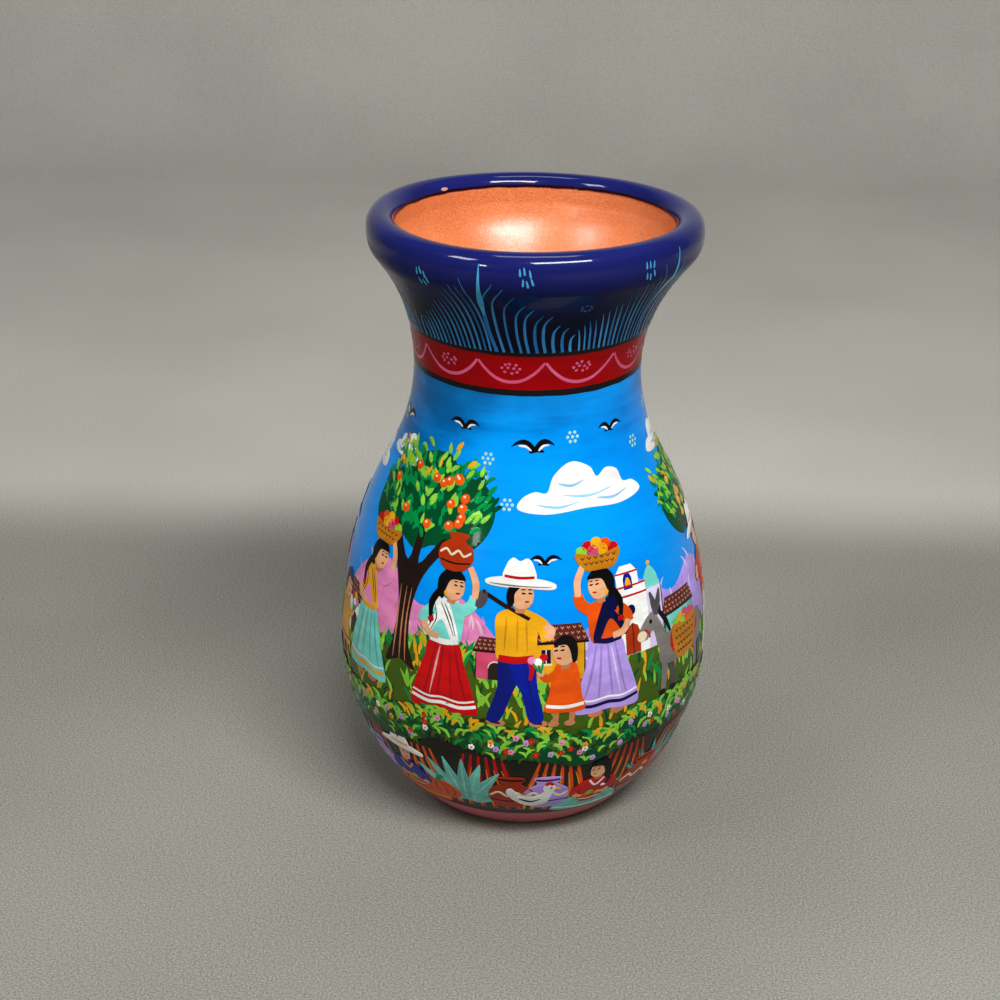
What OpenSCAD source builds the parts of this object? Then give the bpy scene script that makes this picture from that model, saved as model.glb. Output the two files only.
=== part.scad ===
// Hand-built earthenware vase with a bulbous belly, a drawn-in neck and a thick rolled lip.
// Six luted clay sections carry ten brushed coats of colour.
// Millimetres, +Z up, origin at the middle of the foot's underside.

/* [Foot] */
// Radius of the flat underside
foot_r = 39.8; // [37:0.2:43]
// Thickness of the floor slab
floor_t = 9; // [7:0.5:12]

/* [Belly] */
// Largest radius of the clay wall
belly_r = 72.3; // [70:0.1:75]
// Height of the widest point
belly_z = 69.5; // [66:0.5:75]
// Thickness of the clay wall
wall_t = 5.5; // [4.5:0.5:7]

/* [Neck] */
// Smallest radius of the clay wall
neck_r = 42.8; // [41:0.2:45]
// Radius of the hollow curve below the narrowest point
neck_low_curve = 73; // [66:1:80]
// Radius of the hollow curve above the narrowest point
neck_up_curve = 65; // [61:1:69]

/* [Lip] */
// Height of the vase over the painted lip
vase_h = 240; // [225:1:260]
// Drop from the top of the lip to the narrowest point
neck_drop = 58.5; // [58:0.5:64]
// Largest radius of the lip's clay
lip_r = 62; // [60:0.1:64]
// Radius of the curve under the lip
lip_under_curve = 10.4; // [8:0.2:12]

/* [Paint] */
// Thickness of a brushed and varnished coat
coat_t = 0.4; // [0.2:0.05:0.5]
// Bare clay left between the foot's edge and the first coat
foot_bare_h = 3.6; // [2:0.1:5]
// Height of the top of the plum band round the foot
base_band_z = 13.2; // [11:0.2:14]
// Height of the top of the thin line over that band
base_line_z = 14.4; // [13.8:0.1:16]
// Height where the dark ground coat gives way to the sky coat
ground_z = 60; // [50:1:66]
// Drop from the top of the lip to the lower edge of the lower neck line
neck_line_drop = 57.2; // [56.8:0.1:57.6]
// Width of the lower neck line
lower_line_w = 2.2; // [2:0.1:4]
// Width of the red band
red_band_w = 13.7; // [10:0.1:14]
// Width of the upper neck line
upper_line_w = 2; // [1.5:0.1:4]
// Depth to which the blue coat runs down inside the mouth
mouth_coat_h = 5.6; // [5.5:0.1:9]

/* [Hidden] */
$fn = 128;

clay = "sandybrown";
far = 4 * vase_h;

// Heights on the finished vase
neck_z = vase_h - neck_drop;
lip_top_z = vase_h - coat_t;
lower_line_z = vase_h - neck_line_drop;
red_band_z = lower_line_z + lower_line_w;
upper_line_z = red_band_z + red_band_w;
blue_z = upper_line_z + upper_line_w;

// The wall is five arcs, each tangent to the next. An arc is [centre, radius of the clay's
// outer face, direction of the paint side: 1 for a swelling wall and -1 for a hollow one].
// Worked-out sizes are kept to a thousandth, so that neighbouring slices share their edges.
belly_in = belly_r - foot_r;
low_r = tidy((belly_in * belly_in + belly_z * belly_z) / (2 * belly_in));
belly_low = [[belly_r - low_r, belly_z], low_r, 1];

neck_in = belly_r - neck_r;
neck_rise = neck_z - belly_z;
neck_low = [[neck_r + neck_low_curve, neck_z], neck_low_curve, -1];
up_r = tidy((neck_rise * neck_rise + neck_in * neck_in) / (2 * neck_in) - neck_low_curve);
belly_up = [[belly_r - up_r, belly_z], up_r, 1];

neck_up = [[neck_r + neck_up_curve, neck_z], neck_up_curve, -1];
under_x = lip_r - lip_under_curve;
under_rise = sqrt(pow(neck_up_curve + lip_under_curve, 2) - pow(neck_r + neck_up_curve - under_x, 2));
under_z = tidy(neck_z + under_rise);
lip_under = [[under_x, under_z], lip_under_curve, 1];

// Where one arc hands over to the next, as a direction from the arc's centre
shoulder_angle = direction(belly_up[0], neck_low[0]);
lip_angle = direction(neck_up[0], lip_under[0]);
lip_seat_z = tidy(under_z - lip_under_curve * sin(lip_angle));

// The lip stands on the end of the neck wall and is rounded over the top
mouth_r = tidy(neck_up[0][0] - sqrt(pow(neck_up_curve + wall_t, 2) - pow(lip_seat_z - neck_z, 2)));
lip_t = lip_r - mouth_r;
roll_r = lip_t / 2;
roll_x = lip_r - roll_r;
roll_z = lip_top_z - roll_r;

function tidy(value) = round(1000 * value) / 1000;

function direction(from, to) = atan2(to[1] - from[1], to[0] - from[0]);

// Direction, from an arc's centre, of the point of its clay face at height z
function angle_at(arc, z) =
    let (rise = asin((z - arc[0][1]) / arc[1]))
    arc[2] > 0 ? rise : 180 - rise;

// Slice of an arc between two directions, from one offset of its clay face to another.
// Offsets count outwards, so clay has negative ones and paint positive ones.
module arc_slice(arc, from_angle, to_angle, inner, outer) {
    radii = [arc[1] + arc[2] * inner, arc[1] + arc[2] * outer];
    middle = (from_angle + to_angle) / 2;
    translate(arc[0])
        intersection() {
            difference() {
                circle(r = max(radii));
                circle(r = min(radii));
            }
            polygon([
                [0, 0],
                far * [cos(from_angle), sin(from_angle)],
                far * [cos(middle), sin(middle)],
                far * [cos(to_angle), sin(to_angle)]
            ]);
        }
}

module clay_slice(arc, from_angle, to_angle) {
    arc_slice(arc, from_angle, to_angle, -wall_t, 0);
}

// Coat on one arc between two heights
module coat_slice(arc, from_z, to_z) {
    arc_slice(arc, angle_at(arc, from_z), angle_at(arc, to_z), 0, coat_t);
}

// Everything outside the axis between two heights
module level(from_z, to_z, from_x = 0) {
    translate([from_x, from_z]) square([far, to_z - from_z]);
}

// Flat round slab that the wall is built up on
module foot_slab() {
    color(clay)
        rotate_extrude()
            intersection() {
                translate(belly_low[0]) circle(r = low_r);
                level(0, floor_t);
            }
}

// Lower half of the belly, standing on the slab
module lower_bowl() {
    color(clay)
        rotate_extrude()
            intersection() {
                clay_slice(belly_low, -90, 0);
                level(floor_t, belly_z);
            }
}

// Upper half of the belly, luted to the lower half at the widest point
module upper_bowl() {
    color(clay) rotate_extrude() clay_slice(belly_up, 0, shoulder_angle);
}

// Lower neck, drawn in from the shoulder to the narrowest point
module neck_collar() {
    color(clay) rotate_extrude() clay_slice(neck_low, shoulder_angle + 180, 180);
}

// Upper neck, opening out from the narrowest point to the seat of the lip
module neck_flare() {
    color(clay)
        rotate_extrude()
            intersection() {
                clay_slice(neck_up, 180, 90);
                level(neck_z, lip_seat_z);
            }
}

// Cross-section of the lip above its seat, grown sideways and upwards by a coat's thickness
module lip_section(grow = 0) {
    intersection() {
        translate([roll_x, roll_z]) circle(r = roll_r + grow);
        level(roll_z, far);
    }
    translate([mouth_r - grow, lip_seat_z]) square([lip_t + 2 * grow, roll_z - lip_seat_z]);
}

// Thick coil that is pressed on the neck and rolled over
module lip_coil() {
    color(clay)
        rotate_extrude()
            difference() {
                lip_section();
                difference() {
                    level(lip_seat_z, under_z, under_x);
                    translate(lip_under[0]) circle(r = lip_under_curve);
                }
            }
}

module plum_base_band() {
    color("rosybrown") rotate_extrude() coat_slice(belly_low, foot_bare_h, base_band_z);
}

module base_line() {
    color("black") rotate_extrude() coat_slice(belly_low, base_band_z, base_line_z);
}

module ground_coat() {
    color("darkolivegreen") rotate_extrude() coat_slice(belly_low, base_line_z, ground_z);
}

// Sky over the belly, from the ground coat to the shoulder
module sky_coat() {
    color("dodgerblue")
        rotate_extrude()
            union() {
                coat_slice(belly_low, ground_z, belly_z);
                arc_slice(belly_up, 0, shoulder_angle, 0, coat_t);
            }
}

// Deeper sky drawn down from the neck line to the shoulder
module shoulder_sky_coat() {
    color("royalblue")
        rotate_extrude()
            union() {
                arc_slice(neck_low, shoulder_angle + 180, 180, 0, coat_t);
                coat_slice(neck_up, neck_z, lower_line_z);
            }
}

module lower_neck_line() {
    color("black") rotate_extrude() coat_slice(neck_up, lower_line_z, red_band_z);
}

module red_band() {
    color("firebrick") rotate_extrude() coat_slice(neck_up, red_band_z, upper_line_z);
}

module upper_neck_line() {
    color("black") rotate_extrude() coat_slice(neck_up, upper_line_z, blue_z);
}

// Dark blue up the flare of the neck
module blue_neck_coat() {
    color("midnightblue")
        rotate_extrude()
            arc_slice(neck_up, angle_at(neck_up, blue_z), lip_angle, 0, coat_t);
}

// Blue under and over the lip and a little way down inside the mouth
module blue_lip_coat() {
    color("navy")
        rotate_extrude()
            union() {
                arc_slice(lip_under, lip_angle - 180, 0, 0, coat_t);
                difference() {
                    lip_section(coat_t);
                    lip_section();
                    level(0, under_z, roll_x);
                    square([roll_x, vase_h - mouth_coat_h]);
                }
            }
}

foot_slab();
lower_bowl();
upper_bowl();
neck_collar();
neck_flare();
lip_coil();
plum_base_band();
base_line();
ground_coat();
sky_coat();
shoulder_sky_coat();
lower_neck_line();
red_band();
upper_neck_line();
blue_neck_coat();
blue_lip_coat();
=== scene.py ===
"""Painted earthenware vase: clay, coats, brushed ornament, light and camera."""
import bisect
import math
import random

import bmesh
import bpy
from mathutils import Matrix, Vector, noise
from mathutils.bvhtree import BVHTree


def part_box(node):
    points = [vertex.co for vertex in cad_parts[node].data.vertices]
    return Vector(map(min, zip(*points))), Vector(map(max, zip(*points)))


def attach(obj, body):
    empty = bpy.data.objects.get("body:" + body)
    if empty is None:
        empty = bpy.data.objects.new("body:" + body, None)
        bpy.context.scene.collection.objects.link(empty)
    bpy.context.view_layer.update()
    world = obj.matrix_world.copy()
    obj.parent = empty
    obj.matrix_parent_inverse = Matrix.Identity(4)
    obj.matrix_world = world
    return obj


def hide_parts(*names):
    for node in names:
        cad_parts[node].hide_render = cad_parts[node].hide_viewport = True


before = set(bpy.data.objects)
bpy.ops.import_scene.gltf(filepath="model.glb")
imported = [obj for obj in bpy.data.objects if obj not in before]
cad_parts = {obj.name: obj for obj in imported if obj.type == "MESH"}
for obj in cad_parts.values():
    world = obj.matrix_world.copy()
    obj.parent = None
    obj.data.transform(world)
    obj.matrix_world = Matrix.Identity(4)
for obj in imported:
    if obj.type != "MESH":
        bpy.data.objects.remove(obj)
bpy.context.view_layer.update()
scene = bpy.context.scene
scene.view_settings.view_transform = "Standard"

MM = 0.001
TURN = 2 * math.pi

# The hand's unevenness
LEAN = 1.9 * MM
OUT_OF_ROUND = 0.35 * MM
DENTS = 0.12 * MM
LIP_WAVE = 0.45 * MM
THUMB = 6 * MM
CREASE = 0.6
FOOT_TRUE = 12 * MM

# Coats and strokes, with the shares of a stroke's length over which it opens and closes
COAT_STEPS = 240
COAT_ROW = 2.0 * MM
COAT_DEPTH = 0.3 * MM
LINE_LIFT = 0.05 * MM
RANK_LIFT = 0.016 * MM
STROKE_DEPTH = 0.02 * MM
FIRST_RANK = 2
TONE_RANGE = (0.93, 1.04)
WIDENING, NARROWING = 0.3, 0.5

# Strokes are cut into cells, in degrees round the wall and millimetres up it, unless they are small
CELL_ANGLE = 1.5
CELL_RISE = 1.8
SMALL = 2.4

# Steps for reading the wall and the mouth off the frame, and for cutting the mouth's clay into rings
WALL_ROW = 4 * MM
WALL_FINE = 8
EDGE = 0.3 * MM
OUTSIDE = 0.3
OFF_ROLL = 0.03
ROLL_STEP = 15
MOUTH_STEP = 0.5 * MM
MOUTH_LEVELS = range(-48, 20)
MOUTH_CUTS = range(-16, 10)
LIP_STEPS = 20

# Viewpoint fitted to the photo, in metres and radians, with the lens in widths of the picture
CAMERA_PLACE = (0, -0.660, 0.4141)
PITCH, ROLL, YAW = 0.4154, 0.0108, -0.0149
LENS = 1.838
SENSOR = 36


def rgb(red, green, blue):
    """Linear colour from the usual 0 to 255 numbers."""
    def linear(value):
        value /= 255
        return value / 12.92 if value <= 0.04045 else ((value + 0.055) / 1.055) ** 2.4
    return (linear(red), linear(green), linear(blue), 1.0)


def smooth_step(value):
    value = min(1.0, max(0.0, value))
    return value * value * (3 - 2 * value)


# The turned wall

def through(points, closed=False, fine=6):
    """Smooth line through the points."""
    count = len(points)
    line = []
    for i in range(count if closed else count - 1):
        if closed:
            a, b, c, d = (points[(i + k) % count] for k in (-1, 0, 1, 2))
        else:
            a, b, c, d = (points[min(max(i + k, 0), count - 1)] for k in (-1, 0, 1, 2))
        for step in range(fine):
            t = step / fine
            line.append(tuple(
                0.5 * (2 * q + (r - p) * t + (2 * p - 5 * q + 4 * r - s) * t * t
                       + (3 * q - p - 3 * r + s) * t ** 3)
                for p, q, r, s in zip(a, b, c, d)))
    if not closed:
        line.append(tuple(points[-1]))
    return line


class Wall:
    """Painted face of the vase as a line of (radius, height), measured along its length."""

    def __init__(self):
        coats = self.search([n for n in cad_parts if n.endswith(("coat", "band", "line"))])
        lip_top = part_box("lip_coil")[1]
        mouth_r = min(math.hypot(v.co.x, v.co.y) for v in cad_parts["lip_coil"].data.vertices)
        roll_r = (lip_top.x - mouth_r) / 2
        roll_x = lip_top.x - roll_r
        self.roll_z = lip_top.z - roll_r
        low_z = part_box("plum_base_band")[0].z + EDGE
        rows = round((self.roll_z - low_z) / WALL_ROW)
        points = []
        for i in range(rows + 1):
            z = low_z + (self.roll_z - low_z) * i / rows
            points.append((self.hit(coats, (OUTSIDE, z), (-1, 0))[0], z))
        for degrees in range(ROLL_STEP, 180, ROLL_STEP):
            way = (math.cos(math.radians(degrees)), math.sin(math.radians(degrees)))
            start = (roll_x + OFF_ROLL * way[0], self.roll_z + OFF_ROLL * way[1])
            points.append(self.hit(coats, start, (-way[0], -way[1])))
        lip_coat = self.search(["blue_lip_coat"])
        for i in range(LIP_STEPS):
            inner = self.hit(lip_coat, (0, self.roll_z - MOUTH_STEP * i), (1, 0))
            if not inner or inner[0] > roll_x:
                break
            points.append(inner)
        self.line = through(points, fine=WALL_FINE)
        self.run = [0.0]
        for a, b in zip(self.line, self.line[1:]):
            self.run.append(self.run[-1] + math.dist(a, b))
        self.end = self.run[-1] / MM
        self.heights = [z for r, z in self.line[:rows * WALL_FINE + 1]]
        self.lean_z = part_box("red_band")[0].z

    @staticmethod
    def search(names):
        points, faces = [], []
        for name in names:
            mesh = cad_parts[name].data
            first = len(points)
            points += [v.co.copy() for v in mesh.vertices]
            faces += [[first + i for i in p.vertices] for p in mesh.polygons]
        return BVHTree.FromPolygons(points, faces)

    @staticmethod
    def hit(tree, start, way):
        place = tree.ray_cast(Vector((start[0], 1e-6, start[1])), Vector((way[0], 0, way[1])))[0]
        return (place.x, place.z) if place else None

    def rise(self, z):
        """Length along the wall, in millimetres, at a height of the outside."""
        i = min(max(bisect.bisect(self.heights, z), 1), len(self.heights) - 1)
        share = (z - self.heights[i - 1]) / (self.heights[i] - self.heights[i - 1])
        return (self.run[i - 1] + (self.run[i] - self.run[i - 1]) * share) / MM

    def at(self, rise):
        """Radius, height and outward direction at a length in millimetres."""
        run = min(max(rise * MM, 0.0), self.run[-1])
        i = min(max(bisect.bisect(self.run, run), 1), len(self.run) - 1)
        a, b = self.line[i - 1], self.line[i]
        share = (run - self.run[i - 1]) / (self.run[i] - self.run[i - 1])
        length = math.dist(a, b)
        out = ((b[1] - a[1]) / length, (a[0] - b[0]) / length)
        return a[0] + (b[0] - a[0]) * share, a[1] + (b[1] - a[1]) * share, out

    def radius(self, rise):
        return self.at(rise)[0] / MM

    def point(self, angle, rise, lift=0.0):
        """Place on the wall; angle in degrees from the front, rightwards."""
        r, z, out = self.at(rise)
        r += out[0] * lift
        z += out[1] * lift
        angle = math.radians(angle)
        return Vector((r * math.sin(angle), -r * math.cos(angle), z))


def uneven(p):
    """The point as a hand-built wall has it: a little out of round, the lip leaning."""
    foot = smooth_step(p.z / FOOT_TRUE)
    up = smooth_step((p.z - wall.lean_z) / (wall.roll_z - wall.lean_z))
    angle = math.atan2(p.x, -p.y)
    reach = math.hypot(p.x, p.y)
    out = Vector((p.x, p.y, 0)) / reach if reach > 1e-6 else Vector()
    waves = 0.6 * math.sin(2 * angle + 0.6) + 0.4 * math.sin(3 * angle + 2)
    swell = OUT_OF_ROUND * (0.5 + 0.7 * up) * waves + DENTS * noise.noise(p * 35)
    sway = LIP_WAVE * up * (0.7 * math.sin(2 * angle - 0.7) + 0.4 * math.sin(3 * angle + 1))
    return p + out * swell * foot + Vector((LEAN * up, 0, sway))


wall = Wall()


# Finishes

class Value:
    """A socket of a finish, with arithmetic."""

    def __init__(self, finish, socket):
        self.finish = finish
        self.socket = socket

    def work(self, operation, *terms):
        return self.finish.node("ShaderNodeMath", {"operation": operation}, dict(enumerate(terms)))

    def __add__(self, other):
        return self.work("ADD", self, other)

    __radd__ = __add__

    def __mul__(self, other):
        return self.work("MULTIPLY", self, other)

    __rmul__ = __mul__

    def __sub__(self, other):
        return self.work("SUBTRACT", self, other)

    def __rsub__(self, other):
        return self.work("SUBTRACT", other, self)

    def between(self, low, high):
        """0 below the low value, 1 above the high one, smooth between."""
        return self.finish.node("ShaderNodeMapRange", {"interpolation_type": "SMOOTHSTEP"},
                                {"Value": self, "From Min": low, "From Max": high})


class Finish:
    """A material built from nodes."""

    def __init__(self, name, fixed):
        self.material = bpy.data.materials.new(name)
        self.material.use_nodes = True
        self.tree = self.material.node_tree
        self.surface = self.tree.nodes["Principled BSDF"]
        self.feed(fixed)
        self.place = self.node("ShaderNodeTexCoord", output="Object")

    def plug(self, socket, value):
        if isinstance(value, Value):
            self.tree.links.new(value.socket, socket)
        else:
            socket.default_value = value

    def node(self, kind, settings=None, sockets=None, output=0):
        node = self.tree.nodes.new(kind)
        for key, value in (settings or {}).items():
            setattr(node, key, value)
        for key, value in (sockets or {}).items():
            self.plug(node.inputs[key], value)
        return Value(self, node.outputs[output])

    def feed(self, sockets):
        for key, value in sockets.items():
            self.plug(self.surface.inputs[key], value)

    def grain(self, scale, stretch=(1, 1, 1), detail=3.0, rough=0.5, shift=0.0):
        """Noise from 0 to 1 over the piece, stretched where a brush was drawn."""
        place = self.node("ShaderNodeMapping", None,
                          {"Vector": self.place, "Location": (shift, shift, shift), "Scale": stretch})
        return self.node("ShaderNodeTexNoise", None,
                         {"Vector": place, "Scale": scale, "Detail": detail, "Roughness": rough})

    def mix(self, share, a, b, kind="MIX"):
        settings = {"data_type": "RGBA", "blend_type": kind}
        return self.node("ShaderNodeMix", settings, {0: share, 6: a, 7: b}, 2)

    def bump(self, height, strength, depth):
        return self.node("ShaderNodeBump", None, {"Height": height, "Strength": strength, "Distance": depth})

    def along(self, axis):
        """Distance from the origin along one axis, in metres."""
        return self.node("ShaderNodeSeparateXYZ", None, {"Vector": self.place}, axis)


def brushed_finish(name, thin, thick, deep=None, deep_share=None, gloss=0.22, coat=0.5, coat_rough=0.06,
                   drag=0.35, shine=1.3, fade=0.0):
    """Brushed paint under varnish: streaks round the vase between a thin and a thick tone."""
    finish = Finish(name, {"Coat Roughness": coat_rough, "Coat IOR": shine, "Specular IOR Level": 0.04})
    streak = finish.grain(16, (1, 1, 9), detail=5, rough=0.6)
    patch = finish.grain(26, (1, 1, 1.6), shift=4.0)
    fine = finish.grain(90, (1, 1, 10), detail=2, shift=9.0)
    share = (streak * 0.6 + patch * 0.55 + fine * 0.25 - 0.2).between(0.2, 0.8)
    colour = finish.mix(share, thin, thick)
    varnish = coat - 0.15 * patch
    if deep:
        depth = deep_share(finish, streak, patch)
        colour = finish.mix(depth, colour, deep)
        varnish = varnish * (1 - fade * depth.between(0.0, 0.25))
    finish.feed({
        "Base Color": colour,
        "Roughness": gloss + 0.12 * patch,
        "Coat Weight": varnish,
        "Normal": finish.bump(streak * 0.7 + fine * 0.3, drag, 0.06 * MM),
    })
    return finish.material


def clay_finish(name):
    """Varnished terracotta with dark grit and faint rings from the building of the wall."""
    finish = Finish(name, {"Coat Roughness": 0.15, "Specular IOR Level": 0.85})
    cloud = finish.grain(22, (1, 1, 1.5), detail=4, rough=0.6)
    sand = finish.grain(2400, detail=2, rough=0.6, shift=2.0)
    grit = finish.grain(1300, detail=1, rough=0.4, shift=3.0).between(0.68, 0.74)
    rings = finish.grain(14, (0.6, 0.6, 14), shift=1.0)
    tone = finish.mix(cloud.between(0.3, 0.7), rgb(235, 134, 80), rgb(246, 154, 97))
    grain_tone = finish.mix(1.0, tone, rgb(220, 204, 198), "MULTIPLY")
    tone = finish.mix(sand.between(0.45, 0.62), grain_tone, tone)
    finish.feed({
        "Base Color": finish.mix(0.35 * grit, tone, rgb(116, 52, 34)),
        "Roughness": 0.22 + 0.1 * cloud,
        "Coat Weight": 0.1 + 0.1 * cloud,
        "Normal": finish.bump(sand * 1.4 + rings, 0.5, 0.12 * MM),
    })
    return finish.material


def picture_finish(name):
    """Brush strokes of many colours, each stroke's own colour carried by the piece."""
    finish = Finish(name, {"Coat Roughness": 0.08, "Coat IOR": 1.3, "Specular IOR Level": 0.04})
    pigment = finish.node("ShaderNodeAttribute", {"attribute_name": "pigment"}, None, "Color")
    streak = finish.grain(70, (1, 1, 2.4), detail=4, rough=0.6)
    thin = finish.mix(streak.between(0.35, 0.7), rgb(225, 225, 225), rgb(255, 255, 255))
    finish.feed({
        "Base Color": finish.mix(1.0, pigment, thin, "MULTIPLY"),
        "Roughness": 0.24 + 0.14 * streak,
        "Coat Weight": 0.5 - 0.15 * streak,
        "Normal": finish.bump(streak, 0.3, 0.05 * MM),
    })
    return finish.material


def near_neck(finish, streak, patch):
    """Dark brushed patches of sky close under the neck's line, more of them to the left."""
    level = finish.along("Z") + 0.05 * (streak - 0.5) + 0.08 * (patch - 0.5) - 0.35 * finish.along("X")
    return 0.8 * level.between(0.160, 0.194)


def flare_dark_and_lip_shade(finish, streak, patch):
    """The blue goes near black towards the neck's line: partly the paint's own darkening down the neck, and
    partly painted shade under the lip's overhang, where the dark reaches up under the lip.
    """
    level = finish.along("Z") + 0.010 * (streak - 0.5) + 0.014 * (patch - 0.5)
    return 0.95 - 0.95 * level.between(0.206, 0.240)


CLAY = clay_finish("varnished_terracotta")
PLUM = brushed_finish("plum_gloss", rgb(208, 106, 116), rgb(178, 76, 90), gloss=0.3, coat_rough=0.15)
BLACK = brushed_finish("black_gloss", rgb(20, 16, 18), rgb(8, 6, 8))
GROUND = brushed_finish("dark_ground_gloss", rgb(40, 42, 26), rgb(20, 20, 16))
SKY = brushed_finish("sky_gloss", rgb(0, 148, 232), rgb(0, 128, 224), rgb(0, 76, 130), near_neck)
RED = brushed_finish("red_gloss", rgb(156, 0, 6), rgb(120, 0, 3), coat=0.25)
BLUE = brushed_finish("blue_gloss", rgb(24, 30, 98), rgb(12, 18, 80), rgb(2, 4, 18), flare_dark_and_lip_shade,
                      gloss=0.2, coat=1.0, coat_rough=0.04, drag=0.15, shine=1.45, fade=0.88)
PICTURE = picture_finish("picture_gloss")


# Clay and coats

def piece(name, shape, finish, replaces=()):
    """Object from a bmesh, tied to the vase."""
    mesh = bpy.data.meshes.new(name)
    shape.to_mesh(mesh)
    shape.free()
    mesh.materials.append(finish)
    made = bpy.data.objects.new(name, mesh)
    scene.collection.objects.link(made)
    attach(made, "root")
    if replaces:
        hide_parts(*replaces)


def soften(shape):
    """Smooth faces, with creases kept sharp."""
    for face in shape.faces:
        face.smooth = True
    for edge in shape.edges:
        edge.smooth = edge.calc_face_angle(0.0) < CREASE


def cut(shape, place, across, near):
    """Cut all of a shape along a plane."""
    every = shape.verts[:] + shape.edges[:] + shape.faces[:]
    bmesh.ops.bisect_plane(shape, geom=every, dist=near, plane_co=place, plane_no=across)


def rounded_inside():
    """How far the bend inside the mouth is filled at each height, as a thumb smooths it."""
    inner = wall.search(["neck_flare", "lip_coil"])
    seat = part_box("lip_coil")[0].z
    reach = {i: wall.hit(inner, (0, seat + MOUTH_STEP * i), (1, 0))[0] for i in MOUTH_LEVELS}
    window = round(THUMB / MOUTH_STEP)
    fill = {}
    for i in MOUTH_LEVELS[window:-window]:
        beside = [reach[k] for k in range(i - window, i + window + 1)]
        fill[i] = sum(beside) / len(beside) - reach[i]

    def at(p):
        level = (p.z - seat) / MOUTH_STEP
        i = math.floor(level)
        if i not in fill or i + 1 not in fill:
            return 0.0
        inside = reach[i] + (reach[i + 1] - reach[i]) * (level - i)
        if math.hypot(p.x, p.y) > inside + EDGE:
            return 0.0
        return fill[i] + (fill[i + 1] - fill[i]) * (level - i)
    return at, seat


def clay_section(node):
    """A clay section of the frame with the hand's unevenness in it."""
    shape = bmesh.new()
    shape.from_mesh(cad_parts[node].data)
    bmesh.ops.remove_doubles(shape, verts=shape.verts[:], dist=0.002 * MM)
    if node in ("neck_flare", "lip_coil"):
        for i in MOUTH_CUTS:
            cut(shape, (0, 0, mouth_seat + i * MM), (0, 0, 1), 0.01 * MM)
        for v in shape.verts:
            grown = 1 + mouth_fill(v.co) / max(math.hypot(v.co.x, v.co.y), MM)
            v.co.x *= grown
            v.co.y *= grown
    for v in shape.verts:
        v.co = uneven(v.co)
    soften(shape)
    piece("clay_" + node, shape, CLAY, [node])


def hand_edge(rise, wave=0.0, seed=0):
    """Edge of a coat round the vase, drawn by hand; closed on itself."""
    def at(angle):
        a = math.radians(angle)
        slow = noise.noise(Vector((1.3 * math.cos(a), 1.3 * math.sin(a), seed)))
        quick = noise.noise(Vector((9 * math.cos(a), 9 * math.sin(a), seed + 7)))
        return rise + wave * (slow + 0.45 * quick)
    return at


def coat(node, low, high, finish, slot, lift=0.0):
    """Brushed coat between two edges, wrapped on the wall and given thickness."""
    rows = max(2, round((high(0) - low(0)) * MM / COAT_ROW))
    shape = bmesh.new()
    bmesh.ops.create_grid(shape, x_segments=COAT_STEPS, y_segments=rows, size=0.5)
    for v in shape.verts:
        angle = 360 * v.co.x
        rise = low(angle) + (high(angle) - low(angle)) * (v.co.y + 0.5)
        v.co = uneven(wall.point(angle, rise, lift))
    bmesh.ops.remove_doubles(shape, verts=shape.verts[:], dist=0.01 * MM)
    bmesh.ops.solidify(shape, geom=shape.faces[:], thickness=COAT_DEPTH)
    soften(shape)
    piece("brushed_" + node, shape, finish, [node])


def top_of(node):
    return wall.rise(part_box(node)[1].z)


def foot_of(node):
    return wall.rise(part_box(node)[0].z)


def middle_of(node):
    return hand_edge((foot_of(node) + top_of(node)) / 2)


def black_line(node, low_wave, high_wave, seed):
    """Black line over the edge where two coats meet."""
    low = hand_edge(foot_of(node), low_wave, seed)
    high = hand_edge(top_of(node), high_wave, seed + 10)
    coat(node, low, high, BLACK, "black_paint", LINE_LIFT)


mouth_fill, mouth_seat = rounded_inside()
for section in ("foot_slab", "lower_bowl", "upper_bowl", "neck_collar", "neck_flare", "lip_coil"):
    clay_section(section)

base_edge = middle_of("base_line")
ground_edge = hand_edge(top_of("ground_coat"), 0.8, 3)
shoulder_edge = hand_edge(top_of("sky_coat"), 0.6, 4)
neck_edge = middle_of("lower_neck_line")
red_edge = middle_of("upper_neck_line")
flare_edge = hand_edge(top_of("blue_neck_coat"))
mouth_edge = hand_edge(wall.end - 0.4, 0.7, 8)

coat("plum_base_band", hand_edge(0.6, 0.5, 1), base_edge, PLUM, "plum_paint")
black_line("base_line", 0.35, 0.35, 2)
coat("ground_coat", base_edge, ground_edge, GROUND, "ground_paint")
coat("sky_coat", ground_edge, shoulder_edge, SKY, "sky_paint")
coat("shoulder_sky_coat", shoulder_edge, neck_edge, SKY, "deep_sky_paint")
black_line("lower_neck_line", 0.5, 0.4, 5)
coat("red_band", neck_edge, red_edge, RED, "red_paint")
black_line("upper_neck_line", 0.35, 0.35, 6)
coat("blue_neck_coat", red_edge, flare_edge, BLUE, "navy_paint")
coat("blue_lip_coat", flare_edge, mouth_edge, BLUE, "cobalt_paint")


# Brush work

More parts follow.
